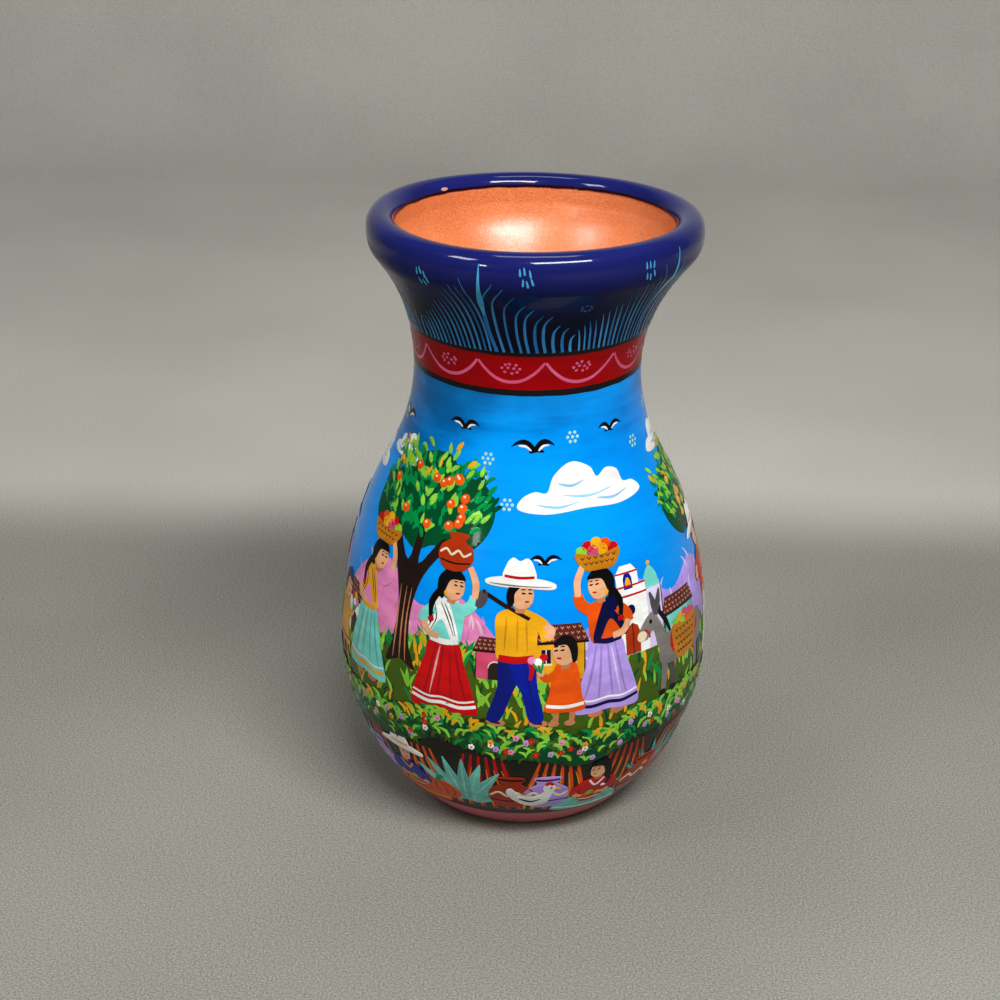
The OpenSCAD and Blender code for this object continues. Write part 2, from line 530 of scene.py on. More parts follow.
INK = {name: rgb(*value) for name, value in {
    "white": (250, 249, 245), "cream": (240, 224, 188), "black": (14, 12, 14), "soil": (44, 32, 26),
    "lavender": (184, 154, 234), "violet": (112, 78, 172), "red": (198, 12, 18), "blue": (8, 28, 150),
    "navy": (10, 14, 66), "orange": (232, 84, 12), "rust": (170, 48, 10), "yellow": (238, 170, 24),
    "ochre": (196, 122, 20), "pink": (240, 140, 194), "rose": (214, 76, 112), "turquoise": (120, 218, 204),
    "teal": (22, 138, 140), "leaf": (0, 142, 68), "forest": (0, 74, 38), "lime": (140, 206, 60),
    "olive": (66, 92, 18), "skin": (232, 172, 128), "tan": (196, 126, 84), "bark": (34, 22, 18),
    "tile": (92, 40, 30), "tile_edge": (214, 142, 124), "mint": (176, 226, 216), "mist": (150, 206, 244),
    "grey": (128, 122, 118), "slate": (78, 74, 76), "fringe": (34, 108, 172),
    "fringe_light": (74, 168, 220), "faint": (62, 92, 138), "mouth_line": (34, 6, 10), "chip": (222, 160,
    138),
}.items()}

# Shares of a stroke's width at its start and end
EVEN = (0.9, 0.9)
BLUNT = (0.8, 0.8)
TICK = (0.6, 0.6)
SLIM = (0.4, 0.4)
THIN = (0.3, 0.3)
LEAF = (0.6, 0.15)

LEAF_ORDER = ("soil", "forest", "olive", "leaf", "lime", "yellow")
LEAF_STEP = 0.6


def blend(colour, other, share):
    """Tone between two inks."""
    return tuple(x + (y - x) * share for x, y in zip(INK[colour], INK[other]))


def leaf_rank(rank, colour):
    """Rank of a leaf stroke: lighter greens lie over darker ones."""
    return rank + LEAF_STEP * LEAF_ORDER.index(colour) if colour in LEAF_ORDER else rank


def around(count, wide, high):
    """Points evenly round an oval."""
    return [(wide * math.cos(TURN * i / count), high * math.sin(TURN * i / count)) for i in range(count)]


class Brush:
    """Strokes of many colours, gathered into one piece."""

    def __init__(self, name, slot, seed):
        self.name = name
        self.slot = slot
        self.shape = bmesh.new()
        self.hand = random.Random(seed)

    def fill(self, outline, colour, rank, small=False):
        """Closed outline of (angle, rise), filled, wrapped on the wall and closed behind.

        A small one follows the wall with its outline alone, and others are cut into cells for it.
        """
        sheet = bmesh.new()
        pigment = sheet.loops.layers.float_color.new("pigment")
        face = sheet.faces.new([sheet.verts.new((angle, rise, 0)) for angle, rise in outline])
        face.normal_update()
        if face.normal.z < 0:
            face.normal_flip()
        bmesh.ops.triangulate(sheet, faces=[face])
        cells = () if small else ((Vector((1, 0, 0)), CELL_ANGLE), (Vector((0, 1, 0)), CELL_RISE))
        for across, cell in cells:
            reach = [v.co.dot(across) for v in sheet.verts]
            if max(reach) - min(reach) < cell:
                continue
            for k in range(math.ceil(min(reach) / cell), math.floor(max(reach) / cell) + 1):
                cut(sheet, across * (k * cell), across, 1e-4)
        lift = RANK_LIFT * (rank + FIRST_RANK)
        for v in sheet.verts:
            v.co = uneven(wall.point(v.co.x, v.co.y, lift))
        bmesh.ops.solidify(sheet, geom=sheet.faces[:], thickness=lift + STROKE_DEPTH)
        soften(sheet)
        tone = INK[colour] if isinstance(colour, str) else colour
        share = self.hand.uniform(*TONE_RANGE)
        tone = [min(1.0, c * share) for c in tone[:3]] + [1.0]
        for face in sheet.faces:
            for loop in face.loops:
                loop[pigment] = tone
        dab = bpy.data.meshes.new("dab")
        sheet.to_mesh(dab)
        sheet.free()
        self.shape.from_mesh(dab)
        bpy.data.meshes.remove(dab)

    def dry(self):
        piece(self.name, self.shape, PICTURE)


class Figure:
    """Brush held at a place on the wall: x to the right and y up, in millimetres.

    A stroke of a higher rank lies over one of a lower rank, and each says how far it is up from the
    figure's own rank.
    """

    def __init__(self, brush, rank, angle, rise, size=1.0, flip=False):
        self.brush = brush
        self.rank = rank
        self.angle = angle
        self.rise = rise
        self.size = size
        self.side = -1 if flip else 1

    def on(self, x, y):
        rise = self.rise + self.size * y
        return self.angle + math.degrees(self.side * self.size * x / wall.radius(rise)), rise

    def panel(self, colour, up, *corners):
        self.brush.fill([self.on(x, y) for x, y in corners], colour, self.rank + up)

    def blob(self, colour, up, *points, fine=5):
        self.panel(colour, up, *through(points, True, fine))

    def oval(self, colour, up, x, y, wide, high, turn=0.0, corners=14):
        cosine, sine = math.cos(math.radians(turn)), math.sin(math.radians(turn))
        ring = [self.on(x + a * cosine - b * sine, y + a * sine + b * cosine)
                for a, b in around(corners, wide, high)]
        self.brush.fill(ring, colour, self.rank + up, 2 * self.size * max(wide, high) < SMALL)

    def line(self, colour, up, width, ends, *points, fine=4):
        """Stroke along a smooth path, its width running from the first end's share to the last end's."""
        if len(points) > 2:
            path = through(points, False, fine)
        else:
            path = [tuple(p + (q - p) * t / 3 for p, q in zip(*points)) for t in range(4)]
        start, end = ends
        left, right = [], []
        last = len(path) - 1
        for i, (x, y) in enumerate(path):
            a, b = path[max(i - 1, 0)], path[min(i + 1, last)]
            length = math.dist(a, b) or 1.0
            t = i / last
            opening = start + (1 - start) * min(1, t / WIDENING)
            closing = end + (1 - end) * min(1, (1 - t) / NARROWING)
            half = 0.5 * width * opening * closing
            side_x, side_y = (a[1] - b[1]) / length * half, (b[0] - a[0]) / length * half
            left.append(self.on(x + side_x, y + side_y))
            right.append(self.on(x - side_x, y - side_y))
        step = max(math.dist(a, b) for a, b in zip(path, path[1:]))
        small = self.size * max(step, width) < SMALL
        self.brush.fill(left + right[::-1], colour, self.rank + up, small)

    def weave(self, up, width, x, y, half, tall, drop):
        """Small hooked stroke of a basket."""
        self.line("soil", up, width, TICK, (x - half, y + tall), (x, y - drop), (x + half, y + tall), fine=1)


def paint_all(brush, figures):
    """Paint figures, each given as its function, its place and its looks, and let the brush dry."""
    for paint, rank, angle, rise, size, flip, *looks in figures:
        paint(Figure(brush, rank, angle, rise, size, flip), *looks)
    brush.dry()


# Ornament of the neck and the sky

def neck_fringe():
    """Blades rising from the neck's line in fans, with dashes under the lip."""
    brush = Brush("neck_fringe", "navy_paint", 3)
    hand = brush.hand
    fans, peak = 5, -16
    apart = 360 // fans
    half = apart // 2
    top = top_of("upper_neck_line")
    root = top - 0.6
    angle = 0.0
    while angle < 358:
        beside = (angle - peak + half) % apart - half
        length = 8 + 28 * (1 - abs(beside) / half) ** 1.2 + hand.uniform(-1.2, 1.2)
        if beside < 0:
            wide, gap = 0.7, 2.5
            bends = ((0, 0), (-0.06, 0.35), (-0.14, 0.7), (-0.24, 1))
        else:
            wide, gap = 0.95, 3.7
            bends = ((0, 0), (-0.08, 0.35), (-0.10, 0.75), (0.03, 1))
        path = [(x * length, y * length) for x, y in bends]
        tone = blend("fringe", "fringe_light", hand.uniform(0, 0.55))
        width = wide * hand.uniform(0.85, 1.2)
        Figure(brush, 3, angle, root).line(tone, 0, width, (1.0, 0.1), *path, fine=5)
        angle += gap * hand.uniform(0.88, 1.12)
    for fan in range(fans):
        at = Figure(brush, 3, peak + apart * fan + 2, root)
        at.line("fringe", 1, 1.3, (0.9, 0.5), (0, 0), (-2.4, 8), (-4.2, 19.5), (-4.4, 30), fine=6)
        at.line("fringe_light", 2, 2.3, (0.2, 0.08), (-3.9, 17), (-4.3, 24), (-4.3, 30), (-4.0, 41), fine=6)
        at = Figure(brush, 3, peak + half + apart * fan, top + 20)
        for x, y in around(7, 1.9, 1.5):
            at.oval("faint", 0, x, y, 0.5, 0.45, corners=8)
    lip_foot = top_of("blue_neck_coat")
    for angle, above in ((-39, 4), (-2.5, 8), (40, 7), (84, 7), (129, 6), (174, 8), (219, 6), (265, 7)):
        at = Figure(brush, 3, angle, lip_foot + above)
        for x, y in ((-2.2, 1.8), (-0.5, 2.4), (1.5, 1.6), (-1.0, -1.4), (0.7, -1.9), (2.3, -0.8)):
            x += hand.uniform(-0.3, 0.3)
            y += hand.uniform(-0.5, 0.5)
            slant = hand.uniform(-0.1, 0.5)
            at.line("fringe_light", 0, 0.75, (0.8, 0.4), (x + slant, y - 1.3), (x - slant, y + 1.3))
    brush.dry()


def red_band_swags():
    """Swags hung round the red band, with clusters of dots in them."""
    brush = Brush("red_band_swags", "red_paint", 5)
    hand = brush.hand
    cusps = (-56, -23.5, 8, 43.5, 74, 110, 146, 182, 217, 252, 279, 304)
    foot = top_of("lower_neck_line")
    wide = foot_of("upper_neck_line") - foot
    middle = 0.62 * wide
    for a, b in zip(cusps, cusps[1:]):
        at = Figure(brush, 3, (a + b) / 2, foot)
        half = math.radians(b - a) / 2 * wall.radius(foot + wide / 2)
        low, high = (0.21 + hand.uniform(-0.03, 0.03)) * wide, 0.8 * wide
        shares = (-1, -0.8, -0.5, -0.2, 0.1, 0.4, 0.7, 0.88, 1)
        tone = blend("rose", "pink", hand.uniform(0, 0.3))
        path = [(half * t, low + (high - low) * abs(t) ** 2.2) for t in shares]
        at.line(tone, 0, 1.15, (0.75, 0.75), *path)
        for i in range(8):
            t = TURN * i / 8 + hand.uniform(-0.2, 0.2)
            x, y = 3.2 * math.cos(t), middle + 1.9 * math.sin(t)
            at.oval(tone, 0, x, y, 0.62, 0.5, hand.uniform(-40, 40), 9)
        for x in (-1.0, 1.1):
            at.oval(tone, 0, x, middle + hand.uniform(-0.3, 0.3), 0.6, 0.5, corners=9)
    brush.dry()


def cloud(at, wide, high):
    puffs = ((-0.5, 0.02), (-0.46, 0.26), (-0.36, 0.40), (-0.27, 0.38), (-0.2, 0.74), (-0.06, 1.0),
             (0.08, 0.84), (0.13, 0.6), (0.22, 0.74), (0.32, 0.64), (0.36, 0.36), (0.46, 0.30),
             (0.52, 0.05), (0.3, -0.07), (0.0, -0.02), (-0.3, -0.08))
    at.blob("white", 0, *((wide * x, high * y) for x, y in puffs), fine=6)
    for x, y, run in ((-0.2, 0.12, 0.16), (0.05, 0.3, 0.2), (0.24, 0.16, 0.14), (-0.08, 0.56, 0.1)):
        left, right = (wide * (x - run), high * y), (wide * (x + run), high * (y + 0.02))
        at.line("mist", 1, 1.0, (0.3, 0.2), left, (wide * x, high * (y - 0.07)), right)


def bird(at):
    at.line("black", 0, 1.9, (0.8, 0.1), (0, 0), (-2.6, 2.6), (-5.6, 2.9), (-8.4, 1.2))
    at.line("black", 0, 1.9, (0.8, 0.1), (0, 0), (2.4, 2.8), (5.0, 3.0), (7.2, 1.6))
    at.line("black", 0, 1.9, (0.2, 0.3), (-2.0, -0.9), (0.2, 0.2), (3.4, -0.6))
    at.line("white", 1, 0.8, (0.3, 0.4), (-5.8, 1.6), (-3.2, 1.4), (-1.2, -0.2))
    at.line("white", 1, 0.8, (0.4, 0.3), (1.4, -0.2), (3.0, 1.5), (5.2, 1.8))


def dot_cluster(at):
    for x, y in around(6, 1.9, 1.9) + [(0, 0)]:
        at.oval("mint", 0, x, y, 0.62, 0.62, corners=8)


def sky_things():
    """Clouds, birds and clusters of dots."""
    clouds = ((24, 150, 50, 17, False), (-64, 158, 26, 10, True), (92, 160, 40, 14, True),
              (150, 152, 46, 16, False), (212, 160, 34, 12, True), (258, 148, 44, 15, False))
    birds = ((-30, 178, 0.8, False), (4, 172, 1.0, False), (43, 176, 0.75, True), (7, 131, 0.75, True),
             (108, 176, 0.9, False), (170, 178, 0.8, True), (196, 170, 1.0, False),
             (240, 177, 0.8, False), (284, 172, 0.9, True))
    dots = ((-17, 168), (22, 176), (-52, 140), (-7, 152), (58, 168), (80, 178), (126, 172), (140, 146),
            (182, 150), (224, 174), (232, 140), (268, 172), (-80, 172))
    figures = [(cloud, 1, angle, rise, 1.0, flip, wide, high) for angle, rise, wide, high, flip in clouds]
    figures += [(bird, 2, angle, rise, size, flip) for angle, rise, size, flip in birds]
    figures += [(dot_cluster, 2, angle, rise, 1.0, False) for angle, rise in dots]
    paint_all(Brush("sky_things", "sky_paint", 7), figures)


# The landscape round the belly

def ridge(brush, tops, foot, colour, rank):
    """Hill from a line of (angle, rise) down to a foot."""
    line = through(tops)
    brush.fill(line + [(line[-1][0], foot), (line[0][0], foot)], colour, rank)
    return line


def tufts(brush, line, depth, colours, rank, count, wide, lean):
    """Short leaf strokes along and below a line."""
    hand = brush.hand
    long = 5.0
    for _ in range(count):
        angle, rise = hand.choice(line)
        at = Figure(brush, rank, angle + hand.uniform(-1.6, 1.6), rise - depth * hand.random() ** 1.3)
        x = hand.uniform(-lean, lean) * long
        tip = (x, long * hand.uniform(0.6, 1.0))
        width = wide * hand.uniform(0.7, 1.2)
        colour = hand.choice(colours)
        at.line(colour, leaf_rank(0, colour), width, LEAF, (0, -0.3 * long),
                (0.35 * x, 0.3 * long), tip, fine=2)


def hills():
    brush = Brush("hills", "sky_paint", 11)
    far = (("lavender", [(12, 84), (24, 112), (38, 120), (54, 110), (70, 117), (84, 100), (92, 84)]),
           ("pink", [(-78, 84), (-66, 112), (-50, 122), (-34, 110), (-20, 116), (-6, 100), (4, 84)]),
           ("pink", [(108, 84), (122, 112), (138, 120), (154, 108), (168, 84)]), ("turquoise", [(160, 84),
           (176, 110), (190, 116), (206, 106), (220, 84)]), ("lavender", [(216, 84), (230, 112),
           (246, 120), (262, 108), (276, 114), (286, 84)]))
    for colour, tops in far:
        line = ridge(brush, tops, 60, colour, 1)
        tones = [blend(colour, "white", 0.45), blend(colour, "violet", 0.25)]
        tufts(brush, line[4:-4], 16, tones, 2, 46, 1.0, 0.9)
    near = [(-180 + 10 * i, 93 + 7 * math.sin(0.9 * i + 0.4) + 3 * math.sin(2.1 * i)) for i in range(37)]
    near[-1] = (180, near[0][1])
    line = ridge(brush, near, 58, "olive", 3)
    greens = ["lime", "lime", "leaf", "forest", "olive", "yellow"]
    tufts(brush, line, 30, greens, 3.4, 1000, 1.5, 0.8)
    tufts(brush, line, 6, greens[:3], 3.4, 460, 1.5, 0.6)
    brush.dry()


def house(at, wide, high, ink, door, *windows):
    """Adobe house, seen from the front, under a tiled roof."""
    half = wide / 2
    at.panel(ink, 0, (-half, 0), (half, -0.3), (half, high), (-half, high + 0.3))
    shade = blend(ink, "black", 0.22)
    at.panel(shade, 1, (half * 0.62, -0.2), (half, -0.3), (half, high), (half * 0.62, high))
    top = high * 1.42
    at.panel("tile", 2, (-half * 1.18, high - 0.6), (half * 1.18, high - 0.8), (half * 0.86, top),
             (-half * 0.86, top + 0.3))
    rows = max(2, round((top - high) / 2.0))
    for row in range(rows):
        y = high + (top - high) * (row + 0.35) / rows
        reach = half * (1.12 - 0.26 * row / rows)
        count = round(2 * reach / 2.3)
        for i in range(count):
            x = -reach + 2 * reach * (i + 0.5 + 0.25 * (row % 2)) / count
            tile = ((x - 0.55, y + 0.5), (x, y - 0.25), (x + 0.55, y + 0.4))
            at.line("tile_edge", 3, 0.5, TICK, *tile, fine=1)
    at.line("black", 4, 0.7, BLUNT, (-half * 1.18, high - 0.7), (0, high - 0.5), (half * 1.18, high - 0.9))
    for x in (-half, half):
        at.line("black", 4, 0.5, (0.8, 0.6), (x, -0.2), (x, high - 0.6))
    jamb, door_top = min(3.2, half * 0.4), high * 0.62
    bends = (0, 0.5, 1.05, 1.57, 2.1, 2.64, 3.14)
    arch = [(door - jamb * math.cos(a), door_top - jamb + jamb * math.sin(a)) for a in bends]
    at.panel("soil", 2, (door - jamb, 0), *arch, (door + jamb, 0))
    at.line("cream", 3, 0.5, BLUNT, *arch, fine=2)
    sill, lintel = high * 0.42, high * 0.8
    for x in windows:
        at.panel("navy", 2, (x - 1.7, sill), (x + 1.7, sill), (x + 1.7, lintel), (x - 1.7, lintel))
        at.line("cream", 3, 0.7, EVEN, (x - 2.2, sill), (x + 2.2, sill))
        at.line("cream", 3, 0.4, EVEN, (x, sill), (x, lintel))


def chapel(at, dome):
    """White chapel with a stepped gable, a bell arch and a small dome."""
    at.blob(dome, 0, (6, 22), (6.5, 27), (10, 31), (13.5, 27), (14, 22), (10, 21))
    at.oval("yellow", 1, 10, 32, 0.9, 0.9)
    at.panel("white", 1, (-9, 0), (15, -0.4), (15, 22.5), (-9, 23))
    at.panel(blend("white", "lavender", 0.5), 2, (7, -0.2), (15, -0.4), (15, 22.5), (7, 22.7))
    at.panel("white", 2, (-9, 22.4), (7, 22.4), (7, 26), (4, 26), (4, 31), (1.6, 34), (-3.6, 34),
             (-6, 31), (-6, 26), (-9, 26))
    at.panel("blue", 3, (-3, 25), (1, 25), (1, 29), (0.3, 30.6), (-1, 31.2), (-2.3, 30.6), (-3, 29))
    at.blob("yellow", 4, (-2.3, 26.6), (-1.7, 28.8), (-1, 29.4), (-0.3, 28.8), (0.3, 26.6), (-1, 26.4))
    at.panel("rust", 3, (-4.4, 0), (2.4, 0), (2.4, 8), (1.4, 10.6), (-1, 12), (-3.4, 10.6), (-4.4, 8))
    at.line("soil", 4, 0.5, EVEN, (-1, 0), (-1, 11.8))
    at.oval("navy", 3, -1, 17, 2.0, 2.0)
    for x, y in ((-9.4, 22.6), (-9.2, 26.1), (-6.2, 31.2)):
        at.line("red", 5, 0.6, EVEN, (x, y), (-x - 2, y))
    for x in (10, 13):
        at.oval("navy", 3, x, 13, 0.9, 2.2)
    at.line("black", 5, 0.5, EVEN, (-9.1, 0), (-9.1, 22.4))
    at.line("black", 5, 0.5, EVEN, (15, -0.4), (15, 22.4))


def houses():
    paint_all(Brush("village_houses", "sky_paint", 13), (
        (house, 7, 11, 87, 1.0, False, 19, 15, "yellow", 3, -5),
        (chapel, 7, 36, 92, 1.0, False, "turquoise"),
        (house, 7, 57, 88, 1.0, False, 20, 14, "turquoise", -4, 3.5),
        (house, 7, -62, 83.5, 1.0, False, 22, 15, "white", -4, 4),
        (house, 7, -8, 87, 0.8, False, 18, 14, "rose", 0),
        (house, 7, 118, 90, 1.0, False, 20, 14, "pink", 4, -4),
        (house, 7, 141, 82, 1.0, False, 17, 15, "white", -2, 4.5),
        (chapel, 7, 180, 93, 1.0, False, "orange"),
        (house, 7, 204, 90, 1.0, False, 20, 14, "lavender", 4, -4),
        (house, 7, 238, 85, 1.0, False, 21, 15, "yellow", -4, 4),
        (house, 7, 262, 92, 1.0, False, 17, 13, "turquoise", 2, -4)))


def scatter(hand, wide, high):
    """Point somewhere in an oval."""
    a = hand.uniform(0, TURN)
    reach = math.sqrt(hand.random())
    return wide * reach * math.cos(a), high * reach * math.sin(a)


def tree(at, fruit, seed):
    """Round-crowned fruit tree with forking boughs."""
    hand = random.Random(seed)
    crown_y = 53
    at.blob("forest", 0, (-23, 42), (-24, 50), (-19, 58), (-12, 60), (-7, 67), (3, 69), (9, 64), (17, 62),
            (23, 54), (22, 45), (15, 39), (7, 41), (0, 38), (-8, 41), (-15, 38))
    at.blob("bark", 1, (-5.5, 0), (-3, 8), (-2.2, 20), (-6, 32), (-11, 42), (-8.5, 43.5), (-1.6, 34),
            (0.2, 46), (2.6, 46), (2.8, 34), (9, 43), (11.5, 41.5), (5.6, 31), (3.2, 20), (3.6, 8),
            (6.5, 0), (0.6, 2.2), fine=4)
    for x in (-1.8, 0.2, 1.9):
        at.line("tan", 2, 0.6, (0.3, 0.2), (x * 1.4, 2), (x, 14), (x * 1.2, 26))
    layers = ((("leaf", "forest"), 150), (("leaf", "leaf", "lime"), 130), (("lime", "lime", "yellow"), 60))
    for layer, (colours, count) in enumerate(layers):
        for _ in range(count):
            x, y = scatter(hand, 22, 13.5)
            y += crown_y + 2.5 * layer
            under = layer == 0 and y < 44 and abs(x) < 10
            if under or layer == 2 and y < 56 + 0.2 * abs(x):
                continue
            turn = hand.uniform(-0.9, 0.9) + 0.06 * x
            bend = (x + 2.0 * math.sin(turn), y + 1.7)
            tip = (x + 3.4 * math.sin(turn), y + 3.4 * math.cos(turn))
            width = hand.uniform(1.1, 1.7)
            colour = hand.choice(colours)
            at.line(colour, leaf_rank(1.4, colour), width, (0.5, 0.15), (x, y), bend, tip, fine=2)
    for _ in range(15):
        x, y = scatter(hand, 18, 11)
        y += crown_y
        at.oval(fruit, 6, x, y, 1.5, 1.5, corners=12)
        at.oval("cream", 7, x - 0.4, y + 0.5, 0.45, 0.4, corners=8)


def trees():
    paint_all(Brush("fruit_trees", "sky_paint", 17), (
        (tree, 8, -40, 84, 1.2, False, "orange", 1),
        (tree, 8, 86, 82, 1.1, True, "yellow", 2),
        (tree, 8, 160, 84, 1.0, False, "red", 3),
        (tree, 8, 221, 82, 1.15, True, "orange", 4)))


def head(at, up, x, y):
    """Plain round head with two dark eye strokes."""
    at.line("tan", up, 3.4, EVEN, (x - 0.6, y - 6.4), (x - 0.2, y - 2.0))
    at.oval("skin", up + 1, x, y, 4.2, 5.0)
    for eye in (x + 0.6, x + 2.9):
        at.line("black", up + 2, 0.62, (0.6, 0.5), (eye - 0.7, y + 0.7), (eye + 0.7, y + 0.5))
        at.line("black", up + 2, 0.45, (0.5, 0.3), (eye - 0.9, y + 2.0), (eye + 0.8, y + 1.9))
    at.line("red", up + 2, 0.7, (0.5, 0.5), (x + 1.0, y - 2.4), (x + 2.7, y - 2.2))


def woman(at, skirt, blouse, shawl, load):
    """Woman walking with a jar or a fruit basket on her head."""
    for x in (-4, 5):
        at.oval("tan", 0, x, 1.2, 3.0, 1.4)
    at.blob(skirt, 1, (-5.5, 30), (5, 30.5), (8.5, 22), (12.5, 10), (14, 3), (8, 1.8), (0, 2.6),
            (-8, 1.6), (-13.5, 3), (-11.5, 12), (-8, 22))
    fold = blend(skirt, "black", 0.35)
    for top, low in ((-3, -8), (0, -2), (2.5, 4), (4.4, 10)):
        at.line(fold, 2, 1.0, THIN, (top, 29), ((top + low) / 2, 16), (low, 7))
    at.line(blend(skirt, "white", 0.4), 2, 0.8, (0.2, 0.2), (-1.4, 28), (-3.2, 18), (-5.2, 8))
    at.line(shawl, 3, 1.1, EVEN, (-13, 6.0), (-6, 4.6), (0, 5.4), (7, 4.6), (13.4, 6.0))
    at.line("white", 3, 0.5, EVEN, (-12.5, 8.2), (-6, 6.8), (0, 7.6), (7, 6.8), (12.8, 8.2))
    at.blob(blouse, 3, (-5.5, 29.6), (5.2, 29.8), (7, 37), (6.5, 43.5), (3, 45.5), (-3.5, 45), (-7, 42),
            (-6.8, 36))
    at.line(shawl, 4, 1.9, EVEN, (-5.8, 30.4), (0, 29.8), (5.4, 30.8))
    at.blob(shawl, 4, (-7.4, 43.2), (-4.2, 46), (0.4, 45), (5.6, 32), (3, 30.6), (-1.8, 38), (-7.2, 31),
            (-9.4, 34))
    for x in (0, 1.5):
        at.line("black", 5, 0.45, SLIM, (-6.6 + x, 43.4), (-5.4 + x, 38), (-7.6 + x, 33))
    for x in (0.0, 1.4):
        at.line("black", 5, 0.45, SLIM, (-2.6 + x, 44.4), (0.6 + x, 39), (3.6 + x * 0.5, 32.6))
    at.line(blouse, 5, 4.6, EVEN, (-5.2, 42), (-8.6, 38.4), (-9.6, 35.4))
    at.line("skin", 6, 2.7, (0.9, 0.8), (-9.4, 36), (-7, 32.4), (-2.4, 31.4))
    head(at, 5, 1.8, 51)
    at.blob("black", 8, (5.8, 54), (3, 57.2), (-1.5, 57), (-4.6, 53.5), (-4.4, 48), (-2.2, 46),
            (-1.2, 50), (0.6, 53.4))
    at.line("black", 8, 2.5, (0.9, 0.3), (-3.4, 49), (-6.4, 43.6), (-6.2, 36))
    at.oval("red", 9, -6.2, 37.4, 1.3, 0.9)
    at.oval("yellow", 9, -1.2, 48.2, 0.7, 0.9)
    at.line(blouse, 5, 4.2, EVEN, (5.2, 42), (9.2, 45), (10.2, 48.6))
    at.line("skin", 8, 2.6, (0.9, 0.8), (10.2, 48), (9.8, 53.6), (7.0, 59))
    load(at)


def carried_jar(at):
    at.blob("rust", 9, (-2.5, 57), (3.5, 57), (7.4, 61), (6.8, 65.4), (3.6, 68), (4.4, 70.4), (-3, 70.4),
            (-2.4, 68), (-5.6, 65.4), (-6.2, 61))
    at.line("cream", 10, 0.8, EVEN, (-5.8, 62.6), (-3.4, 64.2), (-1, 62.4), (1.4, 64.2), (3.8, 62.4),
            (6.4, 64))
    at.line("black", 10, 0.6, BLUNT, (-5.2, 60.2), (0.6, 59.4), (6.6, 60.2))


def carried_basket(at):
    fruit = ((-6, 63.8, "red"), (-3, 65.8, "orange"), (0.6, 66.6, "yellow"), (4, 65.6, "red"),
             (6.8, 63.8, "lime"), (2.2, 64, "rose"), (-1.6, 64, "yellow"))
    for x, y, tone in fruit:
        at.oval(tone, 9, x, y, 2.2, 2.1)
    at.blob("ochre", 10, (-8.6, 63.4), (0.4, 62), (9.4, 63.4), (6.4, 57.6), (0.4, 56.8), (-5.6, 57.6))
    for y, reach in ((61.4, 7.6), (59.4, 6.4)):
        for i in range(6):
            at.weave(11, 0.5, 0.4 - reach + reach * (2 * i + 1) / 6, y, 0.8, 0.5, 0.4)


def man(at, trousers, shirt, sash, blanket=None):
    """Man walking with a hoe over his shoulder."""
    for x in (-7.6, 7.4):
        at.oval("tan", 0, x + 1, 1.3, 3.3, 1.4)
        at.line("black", 1, 0.6, BLUNT, (x - 1, 1.6), (x + 2.4, 1.2))
    dark = blend(trousers, "black", 0.4)
    at.blob(dark, 1, (-5.6, 27), (-6.4, 15), (-10, 3), (-5.4, 2.4), (-1.2, 13), (1.6, 20), (2.2, 27))
    at.blob(trousers, 2, (-2, 27), (6, 27), (8, 15), (10.2, 3), (5.2, 2.6), (2.6, 13), (-1, 20))
    at.line(dark, 3, 0.7, THIN, (3.4, 25), (5.2, 15), (7.2, 5))
    at.blob(shirt, 3, (-5.8, 26), (6, 26), (7.4, 34), (6.8, 42), (3, 44.6), (-3.4, 44.4), (-7.2, 41.4),
            (-7, 33))
    fold = blend(shirt, "black", 0.3)
    for x in (-3.4, 0.4, 3.4):
        at.line(fold, 4, 0.7, (0.2, 0.3), (x, 42), (x * 1.1, 35), (x * 1.2, 29))
    at.line(sash, 5, 2.4, EVEN, (-6, 26.8), (0, 26.2), (6.2, 27))
    at.line(sash, 5, 1.7, (0.8, 0.6), (4.6, 27), (5.8, 23), (5.2, 19))
    if blanket:
        at.blob(blanket, 5, (-8, 43), (-4, 45.6), (1, 44.6), (2.6, 34), (1.6, 24), (-8.6, 24.4), (-9, 34))
        for y, tone in ((27, "black"), (30, "white"), (33, "blue"), (36, "yellow"), (39, "black")):
            at.line(tone, 6, 0.9, EVEN, (-8.6, y + 0.4), (-3, y - 0.3), (2.2, y + 0.4))
    at.line("bark", 6, 1.2, EVEN, (-11.8, 50.2), (0, 43.6), (14, 36))
    at.blob("slate", 6, (-11.0, 50.8), (-13.2, 49.6), (-14.6, 44.6), (-12.0, 44.8), (-10.2, 47.8))
    at.line(shirt, 7, 4.8, EVEN, (5, 41.6), (9.6, 38), (11, 33.4))
    at.line("skin", 8, 2.8, EVEN, (10.8, 34), (12.4, 36.6), (10, 38.6))
    head(at, 7, 1.7, 49.6)
    at.blob("black", 9, (-2.2, 53), (-3.6, 50), (-3.0, 46.2), (-1.0, 46.6), (-0.8, 50), (1.0, 52.6))
    at.blob("white", 10, (-10.4, 53.2), (-3, 52.4), (4, 52.2), (12.4, 51.6), (13, 53.4), (6.4, 55.4),
            (-4.4, 56), (-10.6, 54.8))
    at.blob("white", 11, (-4.6, 55), (6, 54.6), (5.4, 60), (3.4, 62.4), (0.8, 61.4), (-1.6, 62.6),
            (-3.8, 60.2))
    at.line(sash, 12, 1.0, EVEN, (-4.5, 56.2), (0.6, 55.6), (5.9, 55.8))
    at.line("grey", 12, 0.5, THIN, (-9.6, 53.4), (0, 52.8), (11.8, 52.2))


